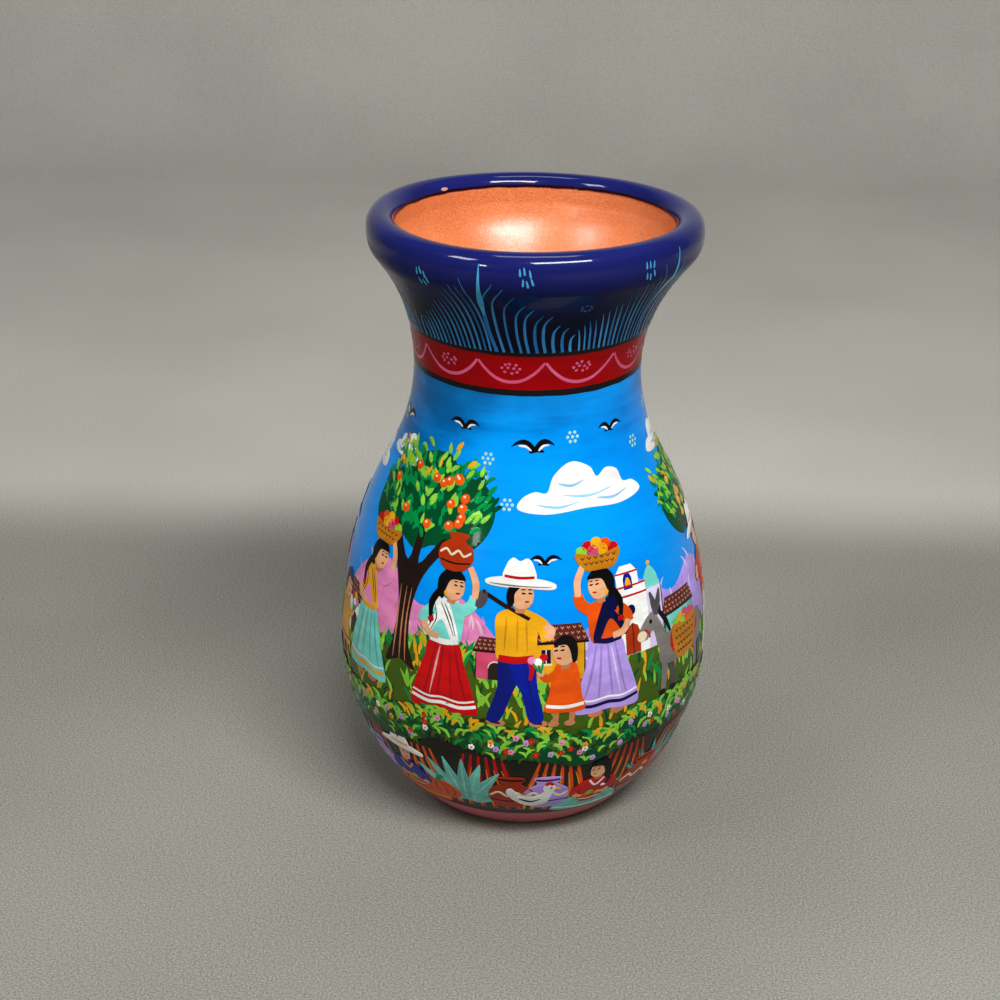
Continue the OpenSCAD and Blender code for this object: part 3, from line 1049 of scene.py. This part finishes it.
def child(at, smock, trim):
    """Child carrying a bunch of flowers."""
    for x in (-2.4, 3.4):
        at.line("tan", 0, 2.2, EVEN, (x, 8), (x + 0.4, 1.6))
        at.oval("tan", 0, x + 1, 1.0, 2.0, 1.0)
    at.blob(smock, 1, (-3.4, 24), (3.6, 24), (6.4, 12), (7.6, 6.4), (0.4, 5.6), (-6.8, 6.4), (-5.6, 12))
    at.line(trim, 2, 1.0, EVEN, (-6.4, 8.4), (0.4, 7.6), (7.2, 8.4))
    at.line(smock, 2, 2.4, EVEN, (2.8, 22), (6.6, 19), (8.6, 20.6))
    at.oval("skin", 3, 9, 21, 1.3, 1.2)
    for x, y, tone in ((8, 27, "red"), (10.4, 28.2, "yellow"), (12.2, 26, "pink"), (10, 25.4, "white")):
        at.line("leaf", 3, 0.6, BLUNT, (9, 21), ((9 + x) / 2, (20 + y) / 2), (x, y))
        at.oval(tone, 4, x, y, 1.4, 1.3, corners=10)
    head(at, 2, 0.8, 28.6)
    at.blob("black", 5, (4.4, 31), (2, 34.2), (-2, 34), (-4, 30.4), (-3.8, 25.6), (-2.2, 24.8),
            (-1.4, 28.6), (0.2, 31.2))


def donkey(at):
    """Donkey with two fruit baskets and a striped blanket."""
    for x, foot, tone in ((-9, -7.4, "slate"), (14, 16.6, "slate"), (-13, -13.8, "grey"),
                          (10.4, 10.8, "grey")):
        at.line(tone, 0, 3.6, (0.95, 0.8), (x, 16), ((x + foot) / 2, 8), (foot, 0.6))
        at.oval("black", 1, foot - 0.3, 0.9, 1.9, 1.1)
    at.blob("grey", 1, (-16, 20), (-10, 25.4), (4, 24.6), (14, 26), (18.4, 21.4), (17, 14), (8, 11.8),
            (-6, 11.8), (-15, 13.6))
    at.blob("grey", 2, (-12, 25.6), (-17, 35.4), (-21, 35), (-26.4, 29.4), (-25.6, 26.6), (-22, 26.4),
            (-18.6, 29), (-16, 20), (-9, 18))
    for tip in (-12.6, -17.8):
        at.line("slate", 3, 2.8, (0.7, 0.3), (-16.4, 34.6), ((tip - 16) / 2, 39.6), (tip, 44))
    at.oval("cream", 3, -24.6, 28, 2.4, 2.0)
    at.oval("black", 3, -19.6, 32.6, 0.8, 0.9)
    at.line("black", 3, 2.0, (0.6, 0.5), (-15, 36), (-11.4, 31), (-9, 25.4))
    at.line("slate", 0, 1.4, (0.8, 0.9), (18, 22), (21, 17), (20.4, 10))
    at.line("red", 4, 0.7, EVEN, (-23, 30.4), (-21.6, 29), (-20.6, 26.8))
    at.blob("red", 3, (-7, 26), (10, 26), (11, 16), (-7.6, 16), fine=3)
    for y, tone in ((17.4, "yellow"), (19.6, "blue"), (24.6, "white")):
        at.line(tone, 4, 0.9, EVEN, (-7.2, y), (2, y - 0.4), (10.6, y))
    for x, y in ((-5, 27), (-1.6, 28.2), (2, 28.6), (5.6, 28), (8.6, 26.6), (0.4, 26.4), (4, 26.2)):
        tone = at.brush.hand.choice(("orange", "yellow", "lime", "rose"))
        at.oval(tone, 4, x, y, 2.1, 2.0, corners=12)
    at.blob("ochre", 5, (-7.6, 26), (2, 24.8), (11, 26), (8.8, 13), (2, 12), (-5.4, 13))
    for row in range(4):
        reach = 6.6 + 0.7 * row
        for i in range(6):
            x = 1.8 - reach + reach * (2 * i + 1 + row % 2 * 0.6) / 6.3
            at.weave(6, 0.6, x, 14.4 + 3.0 * row, 0.9, 0.6, 0.5)


def villagers():
    paint_all(Brush("villagers_front", "ground_paint", 19), (
        (woman, 15, -24, 69, 1.0, False, "red", "turquoise", "white", carried_jar),
        (man, 15, -2, 68, 1.04, False, "blue", "yellow", "red"),
        (child, 20, 13, 68, 1.05, True, "orange", "white"),
        (woman, 15, 26, 70, 1.0, True, "lavender", "orange", "navy", carried_basket),
        (donkey, 15, 58, 70, 0.98, False),
        (man, 15, 84, 70, 1.0, True, "white", "red", "yellow", "orange"),
        (woman, 15, -56, 71, 0.98, False, "turquoise", "pink", "yellow", carried_basket)))
    paint_all(Brush("villagers_back", "ground_paint", 23), (
        (child, 20, -74, 70, 1.05, False, "yellow", "red"),
        (woman, 15, 104, 70, 1.0, False, "blue", "yellow", "white", carried_jar),
        (man, 15, 128, 69, 1.0, False, "lavender", "orange", "red"),
        (child, 20, 146, 69, 1.0, True, "pink", "blue"),
        (donkey, 15, 172, 70, 1.0, False),
        (man, 15, 196, 70, 1.0, True, "white", "blue", "red", "red"),
        (woman, 15, 216, 70, 1.0, True, "orange", "lavender", "turquoise", carried_basket),
        (woman, 15, 238, 70, 1.0, False, "pink", "white", "blue", carried_jar),
        (man, 15, 262, 69, 1.02, False, "yellow", "turquoise", "blue")))


def hedge():
    """Dark strip of curling leaves round the belly, lighter along its upper edge."""
    brush = Brush("leaf_hedge", "ground_paint", 29)
    hand = brush.hand
    tops = [(-180 + 9 * i, 66 + 2.6 * math.sin(0.75 * i + 1) + 1.6 * math.sin(1.9 * i)) for i in range(41)]
    tops[-1] = (180, tops[0][1])
    line = through(tops)
    low = [(a, r - 13 - 1.5 * math.sin(math.radians(5 * a))) for a, r in line]
    brush.fill(line + low[::-1], "forest", 28)
    layers = ((("forest", "olive", "soil"), 700, 15), (("leaf", "olive", "lime"), 760, 13),
              (("lime", "lime", "yellow", "leaf"), 420, 4))
    for colours, count, depth in layers:
        for _ in range(count):
            angle, rise = hand.choice(line)
            at = Figure(brush, 29, angle + hand.uniform(-0.9, 0.9), rise - depth * hand.random())
            side = hand.choice((-1, 1))
            long = hand.uniform(2.4, 4.4)
            bend, tip = (0.25 * side * long, 0.6 * long), (side * 0.9 * long, 0.8 * long)
            width = hand.uniform(0.8, 1.3)
            colour = hand.choice(colours)
            at.line(colour, leaf_rank(0, colour), width, LEAF, (0, 0), bend, tip, fine=2)
    for _ in range(110):
        angle, rise = hand.choice(line)
        at = Figure(brush, 33, angle, rise - hand.uniform(1, 12))
        tone = hand.choice(("red", "white", "yellow", "pink", "lavender"))
        for x, y in around(5, 0.75, 0.75):
            at.oval(tone, 0, x, y, 0.5, 0.5, corners=7)
        at.oval("orange", 1, 0, 0, 0.42, 0.42, corners=7)
    brush.dry()


def agave(at, tone):
    leaves = (-78, -56, -36, -17, 3, 22, 42, 62, 80)
    for order, turn in enumerate(sorted(leaves, key=lambda t: -abs(t))):
        a = math.radians(turn)
        tip = (17 * math.sin(a), 4 + 16 * math.cos(a))
        bend = (8 * math.sin(a * 1.1), 2 + 8.4 * math.cos(a))
        shade = blend(tone, "forest", 0.12 * (order % 3))
        at.line(shade, order, 4.0, (0.7, 0.05), (1.6 * math.sin(a), 0), bend, tip)
        short = (0.92 * tip[0], 0.92 * tip[1])
        at.line("mint", order, 0.6, (0.5, 0.2), (1.4 * math.sin(a), 1), bend, short)


def nopal(at):
    pads = ((0, 6, 5.2, 6.4, 0), (-6.4, 13, 4.4, 5.6, 28), (6, 14, 4.6, 5.8, -24), (0, 18.4, 4.4, 5.6, 4),
            (-10, 21, 3.4, 4.4, 30), (9.6, 22.6, 3.6, 4.6, -24))
    for x, y, wide, high, turn in pads:
        at.oval("leaf", 0, x, y, wide, high, turn, 18)
        for dx, dy in ((-1.6, 1.8), (1.4, 2.2), (0, -0.6), (-1.4, -2.8), (1.8, -2.4)):
            at.oval("mint", 1, x + dx, y + dy, 0.4, 0.4, corners=7)
    for x, y in ((-11.6, 25.6), (-8.4, 25.6), (8, 27.4), (11.4, 27), (0, 24.4), (2.4, 23.8)):
        at.oval("red", 2, x, y, 1.2, 1.6, corners=10)


def jar(at, tone):
    at.blob(tone, 0, (-3.4, 0), (3.4, 0), (6.6, 5), (6.2, 10), (3, 13), (3.8, 16), (-3.8, 16), (-3, 13),
            (-6.2, 10), (-6.6, 5))
    at.line("cream", 1, 0.9, EVEN, (-6.4, 6.6), (-3.8, 8.8), (-1.2, 6.6), (1.4, 8.8), (4, 6.6), (6.4, 8.4))
    at.line("black", 1, 0.6, BLUNT, (-6.2, 4.4), (0, 3.6), (6.2, 4.4))
    at.line("black", 1, 0.8, BLUNT, (-3.6, 15.2), (0, 14.8), (3.6, 15.2))


def pumpkin(at):
    at.oval("orange", 0, 0, 4.6, 6.6, 4.8, corners=20)
    for x in (-4, -1.6, 1.6, 4):
        at.line("rust", 1, 0.7, THIN, (x * 0.5, 9), (x * 1.15, 4.6), (x * 0.5, 0.4))
    at.line("leaf", 1, 1.5, (0.9, 0.6), (0, 8.6), (0.6, 11), (2.4, 12))


def hen(at, tone):
    for x in (-1, 1.6):
        at.line("yellow", 0, 0.7, EVEN, (x, 3), (x - 0.2, 0.2))
    at.blob(tone, 1, (-7, 11), (-4.6, 6.4), (0, 3), (5, 4), (6.6, 8), (7.4, 12.6), (5.4, 13.4),
            (3.4, 9.4), (-2, 8.6), (-5.4, 12.8))
    at.oval(tone, 1, 6.2, 12.8, 2.0, 2.0)
    at.line("red", 2, 1.3, (0.7, 0.7), (5, 14.8), (6.2, 15.6), (7.4, 14.6))
    at.line("yellow", 2, 1.0, (0.9, 0.2), (8, 12.8), (9.8, 12.2))
    at.oval("black", 2, 6.8, 13.2, 0.4, 0.4, corners=7)
    at.line("soil", 2, 1.0, THIN, (-3, 7.4), (0.6, 5.6), (3.6, 7))


def furrows(at, wide, high, tone):
    """Ploughed strips that draw together upwards, on dark soil."""
    at.blob("soil", 0, (-wide / 2, -1), (0, -2), (wide / 2, -1), (wide * 0.42, high * 0.6),
            (wide * 0.3, high), (0, high + 2), (-wide * 0.3, high), (-wide * 0.42, high * 0.6))
    count = max(4, round(wide / 5))
    for i in range(count):
        x = wide * ((i + 0.5) / count - 0.5)
        at.line(tone, 1, 2.4, (0.8, 0.3), (x, -0.5), (x * 0.86, high * 0.45), (x * 0.6, high))
        shine = ((x - 0.5, 0.5), (x * 0.86 - 0.4, high * 0.45), (x * 0.6 - 0.2, high * 0.8))
        at.line("yellow", 2, 0.6, (0.4, 0.2), *shine)


def sitter(at, skirt, blouse, trim, hat):
    """Seller sitting on the ground with a bowl of fruit."""
    at.blob(skirt, 0, (-15, 1), (-12.5, 8), (-5, 13), (5, 13), (13, 9), (17, 2), (10, -0.4), (-8, -0.4))
    fold = blend(skirt, "black", 0.35)
    for x, low in ((-3, -11), (0, -3), (3, 5), (4.6, 12)):
        at.line(fold, 1, 0.9, THIN, (x, 12), ((x + low) / 2, 7), (low, 1.6))
    at.line(trim, 2, 1.0, BLUNT, (-14, 3), (0, 1), (16, 3.2))
    at.blob(blouse, 2, (-5.4, 11), (5.4, 11), (7, 18), (5.8, 24), (-4.8, 24.4), (-6.8, 18))
    at.line(trim, 3, 1.1, BLUNT, (-3, 23.6), (0.4, 19), (4, 23.4))
    at.line(blouse, 3, 4.2, EVEN, (-4.8, 22.4), (-9.2, 17), (-7.4, 13))
    at.line("skin", 4, 2.5, EVEN, (-7.6, 13.4), (-4, 11), (0, 11.4))
    at.line(blouse, 3, 4.2, EVEN, (5, 22.4), (9.4, 17.4), (9.2, 13.4))
    at.line("skin", 4, 2.5, EVEN, (9.2, 13.8), (6.4, 11.2), (3, 11.6))
    for x, y, tone in ((-2.4, 11.6, "yellow"), (0.6, 11.6, "red"), (3.6, 11.6, "orange"),
                       (1.6, 13.2, "lime")):
        at.oval(tone, 5, x, y, 1.8, 1.7, corners=12)
    at.blob("rust", 6, (-5, 11), (1, 10), (7, 11), (4.6, 6.6), (1, 6), (-2.6, 6.6))
    at.line("cream", 7, 0.7, BLUNT, (-4.2, 9.2), (1, 8.2), (6.2, 9.2))
    head(at, 3, 0.8, 30)
    if hat:
        at.blob("black", 6, (-3, 33.4), (-3.8, 30), (-3, 26.4), (-1.4, 27), (-1.4, 31), (0.2, 33))
        at.blob("white", 7, (-11, 33.2), (-3, 32.4), (4, 32.2), (12.4, 32), (12.6, 33.8), (6, 35.6),
                (-4.8, 36), (-11, 34.8))
        at.blob("white", 8, (-4.8, 35), (5.6, 34.8), (5, 39.6), (2.6, 41.8), (-1.8, 41.8), (-4, 39.8))
        at.line(trim, 9, 0.9, EVEN, (-4.6, 36), (0.4, 35.5), (5.4, 35.8))
    else:
        at.blob("black", 6, (4.8, 33.2), (2, 36.2), (-2.4, 36), (-5, 32), (-5.4, 25), (-3, 23.6),
                (-2, 29), (-0.2, 32.4))
        at.line("black", 6, 2.2, (0.9, 0.3), (-4.2, 27), (-5.6, 21), (-3.8, 16))
        at.oval(trim, 7, -3.9, 17.4, 1.2, 0.8)


def lower_field():
    """Furrows, plants, fowl, pots and sellers on the dark ground under the hedge."""
    tones = ("orange", "rust", "orange", "red")
    strips = [(furrows, 1, -180 + 24 * i, 18, 1.0, False, 29, 32 + 2 * (i % 2),
               tones[i % 4]) for i in range(15)]
    paint_all(Brush("ploughed_strips", "ground_paint", 41), strips)
    agaves = ((-20, "turquoise"), (54, "teal"), (118, "turquoise"), (176, "teal"), (238, "turquoise"),
              (-68, "teal"))
    jars = ((-3, "rust"), (9, "lavender"), (46, "rust"), (100, "yellow"), (156, "rust"), (216, "pink"),
            (274, "rust"), (-58, "lavender"))
    hens = ((3, "white", False), (58, "red", True), (-76, "white", True), (108, "white", False),
            (180, "red", False), (244, "white", True))
    figures = [(agave, 5, angle, 22, 1.35, False, tone) for angle, tone in agaves]
    figures += [(nopal, 5, angle, 21, 1.1, False) for angle in (86, 146, 206, 264)]
    figures += [(pumpkin, 15, a, 20 + a % 3, 1.3, False) for a in (-30, 66, 74, 128, 166, 188, 228, 252)]
    figures += [(jar, 16, angle, 20 + angle % 2, 1.3, False, tone) for angle, tone in jars]
    figures += [(hen, 19, angle, 19, 1.25, flip, tone) for angle, tone, flip in hens]
    figures += [
        (sitter, 16, -43, 16, 0.88, False, "orange", "blue", "yellow", True),
        (sitter, 16, 27, 16, 0.88, True, "turquoise", "red", "white", False),
        (sitter, 16, 136, 16, 0.88, False, "pink", "yellow", "blue", False),
        (sitter, 16, 196, 16, 0.88, True, "lavender", "orange", "white", True),
        (sitter, 16, 258, 16, 0.88, False, "red", "turquoise", "yellow", False)]
    paint_all(Brush("lower_field", "ground_paint", 31), figures)


# Painted shade line inside the lip, and wear of the lip

def lip_shade_line_and_chip():
    """Painted shade: a dark line where the blue stops inside the mouth, standing for the shadow at the lip's
    inner edge; and a small chip on it, which is real wear.
    """
    brush = Brush("lip_shade_line_and_chip", "cobalt_paint", 37)
    round_mouth = range(-180, 181, 4)
    # painted shade: a dark band just under the blue's edge all round the mouth
    low = [(angle, mouth_edge(angle) - 1.0) for angle in round_mouth]
    high = [(angle, mouth_edge(angle) - 0.1) for angle in round_mouth]
    brush.fill(low + high[::-1], "mouth_line", 0)
    at = Figure(brush, 1, 222, wall.end - 2.1)
    at.blob("chip", 0, (-1.7, 0.1), (-0.6, 0.7), (0.8, 0.6), (1.6, 0), (0.5, -0.5), (-0.9, -0.4))
    brush.dry()


neck_fringe()
red_band_swags()
sky_things()
hills()
houses()
trees()
villagers()
hedge()
lower_field()
lip_shade_line_and_chip()


# Floor, light and camera

def studio():
    """Grey paper lying under the vase and bending up far behind it; from about 0.2 m behind the vase on it
    is painted lighter, painted light standing for a lit bend of backdrop.
    """
    front, start, bend, top, side, turns = -1.6, 1.0, 0.3, 1.6, 2.2, 12
    line = [(front, 0)]
    for i in range(turns + 1):
        a = TURN / 4 * i / turns
        line.append((start + bend * math.sin(a), bend - bend * math.cos(a)))
    line.append((start + bend, top))
    sweep = bmesh.new()
    points = [sweep.verts.new((-side, y, z)) for y, z in line]
    edges = [sweep.edges.new(pair) for pair in zip(points, points[1:])]
    bmesh.ops.extrude_edge_only(sweep, edges=edges)
    sweep.verts.ensure_lookup_table()
    for v in sweep.verts[len(line):]:
        v.co.x = side
    bmesh.ops.recalc_face_normals(sweep, faces=sweep.faces[:])
    for face in sweep.faces:
        face.smooth = True
    finish = Finish("grey_paper", {"Roughness": 0.75, "Specular IOR Level": 0.2})
    fibre = finish.grain(1300, rough=0.7)
    cloudy = finish.grain(5, detail=2, shift=2.0)
    shade = (fibre * 0.85 + cloudy * 0.15).between(0.3, 0.7)
    near = finish.mix(shade, rgb(102, 101, 93), rgb(160, 159, 150))
    far = finish.mix(shade, rgb(158, 155, 147), rgb(206, 203, 194))
    # painted light: the paper's tone turns brighter from 0.205 to 0.31 m behind the vase and stays bright
    # beyond
    finish.feed({"Base Color": finish.mix(finish.along("Y").between(0.205, 0.31), near, far)})
    mesh = bpy.data.meshes.new("paper_sweep")
    sweep.to_mesh(mesh)
    sweep.free()
    mesh.materials.append(finish.material)
    paper = bpy.data.objects.new("paper_sweep", mesh)
    scene.collection.objects.link(paper)


def lamp(name, place, aim, size, power, mirrored=True):
    data = bpy.data.lights.new(name, "AREA")
    data.shape = "RECTANGLE"
    data.size, data.size_y = size
    data.energy = power
    made = bpy.data.objects.new(name, data)
    made.visible_glossy = mirrored
    way = Vector(aim) - Vector(place)
    made.matrix_world = Matrix.Translation(place) @ way.to_track_quat("-Z", "Y").to_matrix().to_4x4()
    scene.collection.objects.link(made)


def camera():
    """Viewpoint of the photo."""
    ahead = Vector((math.sin(YAW) * math.cos(PITCH), math.cos(YAW) * math.cos(PITCH), -math.sin(PITCH)))
    level = Vector((math.cos(YAW), -math.sin(YAW), 0))
    upright = level.cross(ahead)
    right = math.cos(ROLL) * level + math.sin(ROLL) * upright
    up = math.cos(ROLL) * upright - math.sin(ROLL) * level
    data = bpy.data.cameras.new("camera")
    data.sensor_width = SENSOR
    data.lens = SENSOR * LENS
    made = bpy.data.objects.new("camera", data)
    made.matrix_world = Matrix.Translation(CAMERA_PLACE) @ Matrix((right, up, -ahead)).transposed().to_4x4()
    scene.collection.objects.link(made)
    scene.camera = made


studio()
middle = (0, 0, 0.13)
lamp("high_right", (0.33, -0.82, 1.25), middle, (0.8, 0.22), 16)
lamp("high_left", (-0.86, -0.48, 1.18), middle, (0.35, 0.25), 4)
lamp("low_left", (-0.84, -1.19, 0.67), middle, (0.12, 0.12), 1.5)
lamp("room", (0.40, -0.90, 1.25), middle, (1.0, 0.6), 12.5, False)
lamp("overhead_back", (0.0, 0.20, 1.5), middle, (0.6, 0.25), 2)
world = bpy.data.worlds.new("studio")
world.use_nodes = True
world.node_tree.nodes["Background"].inputs["Color"].default_value = (0.9, 0.95, 1.0, 1)
world.node_tree.nodes["Background"].inputs["Strength"].default_value = 0.09
scene.world = world
camera()
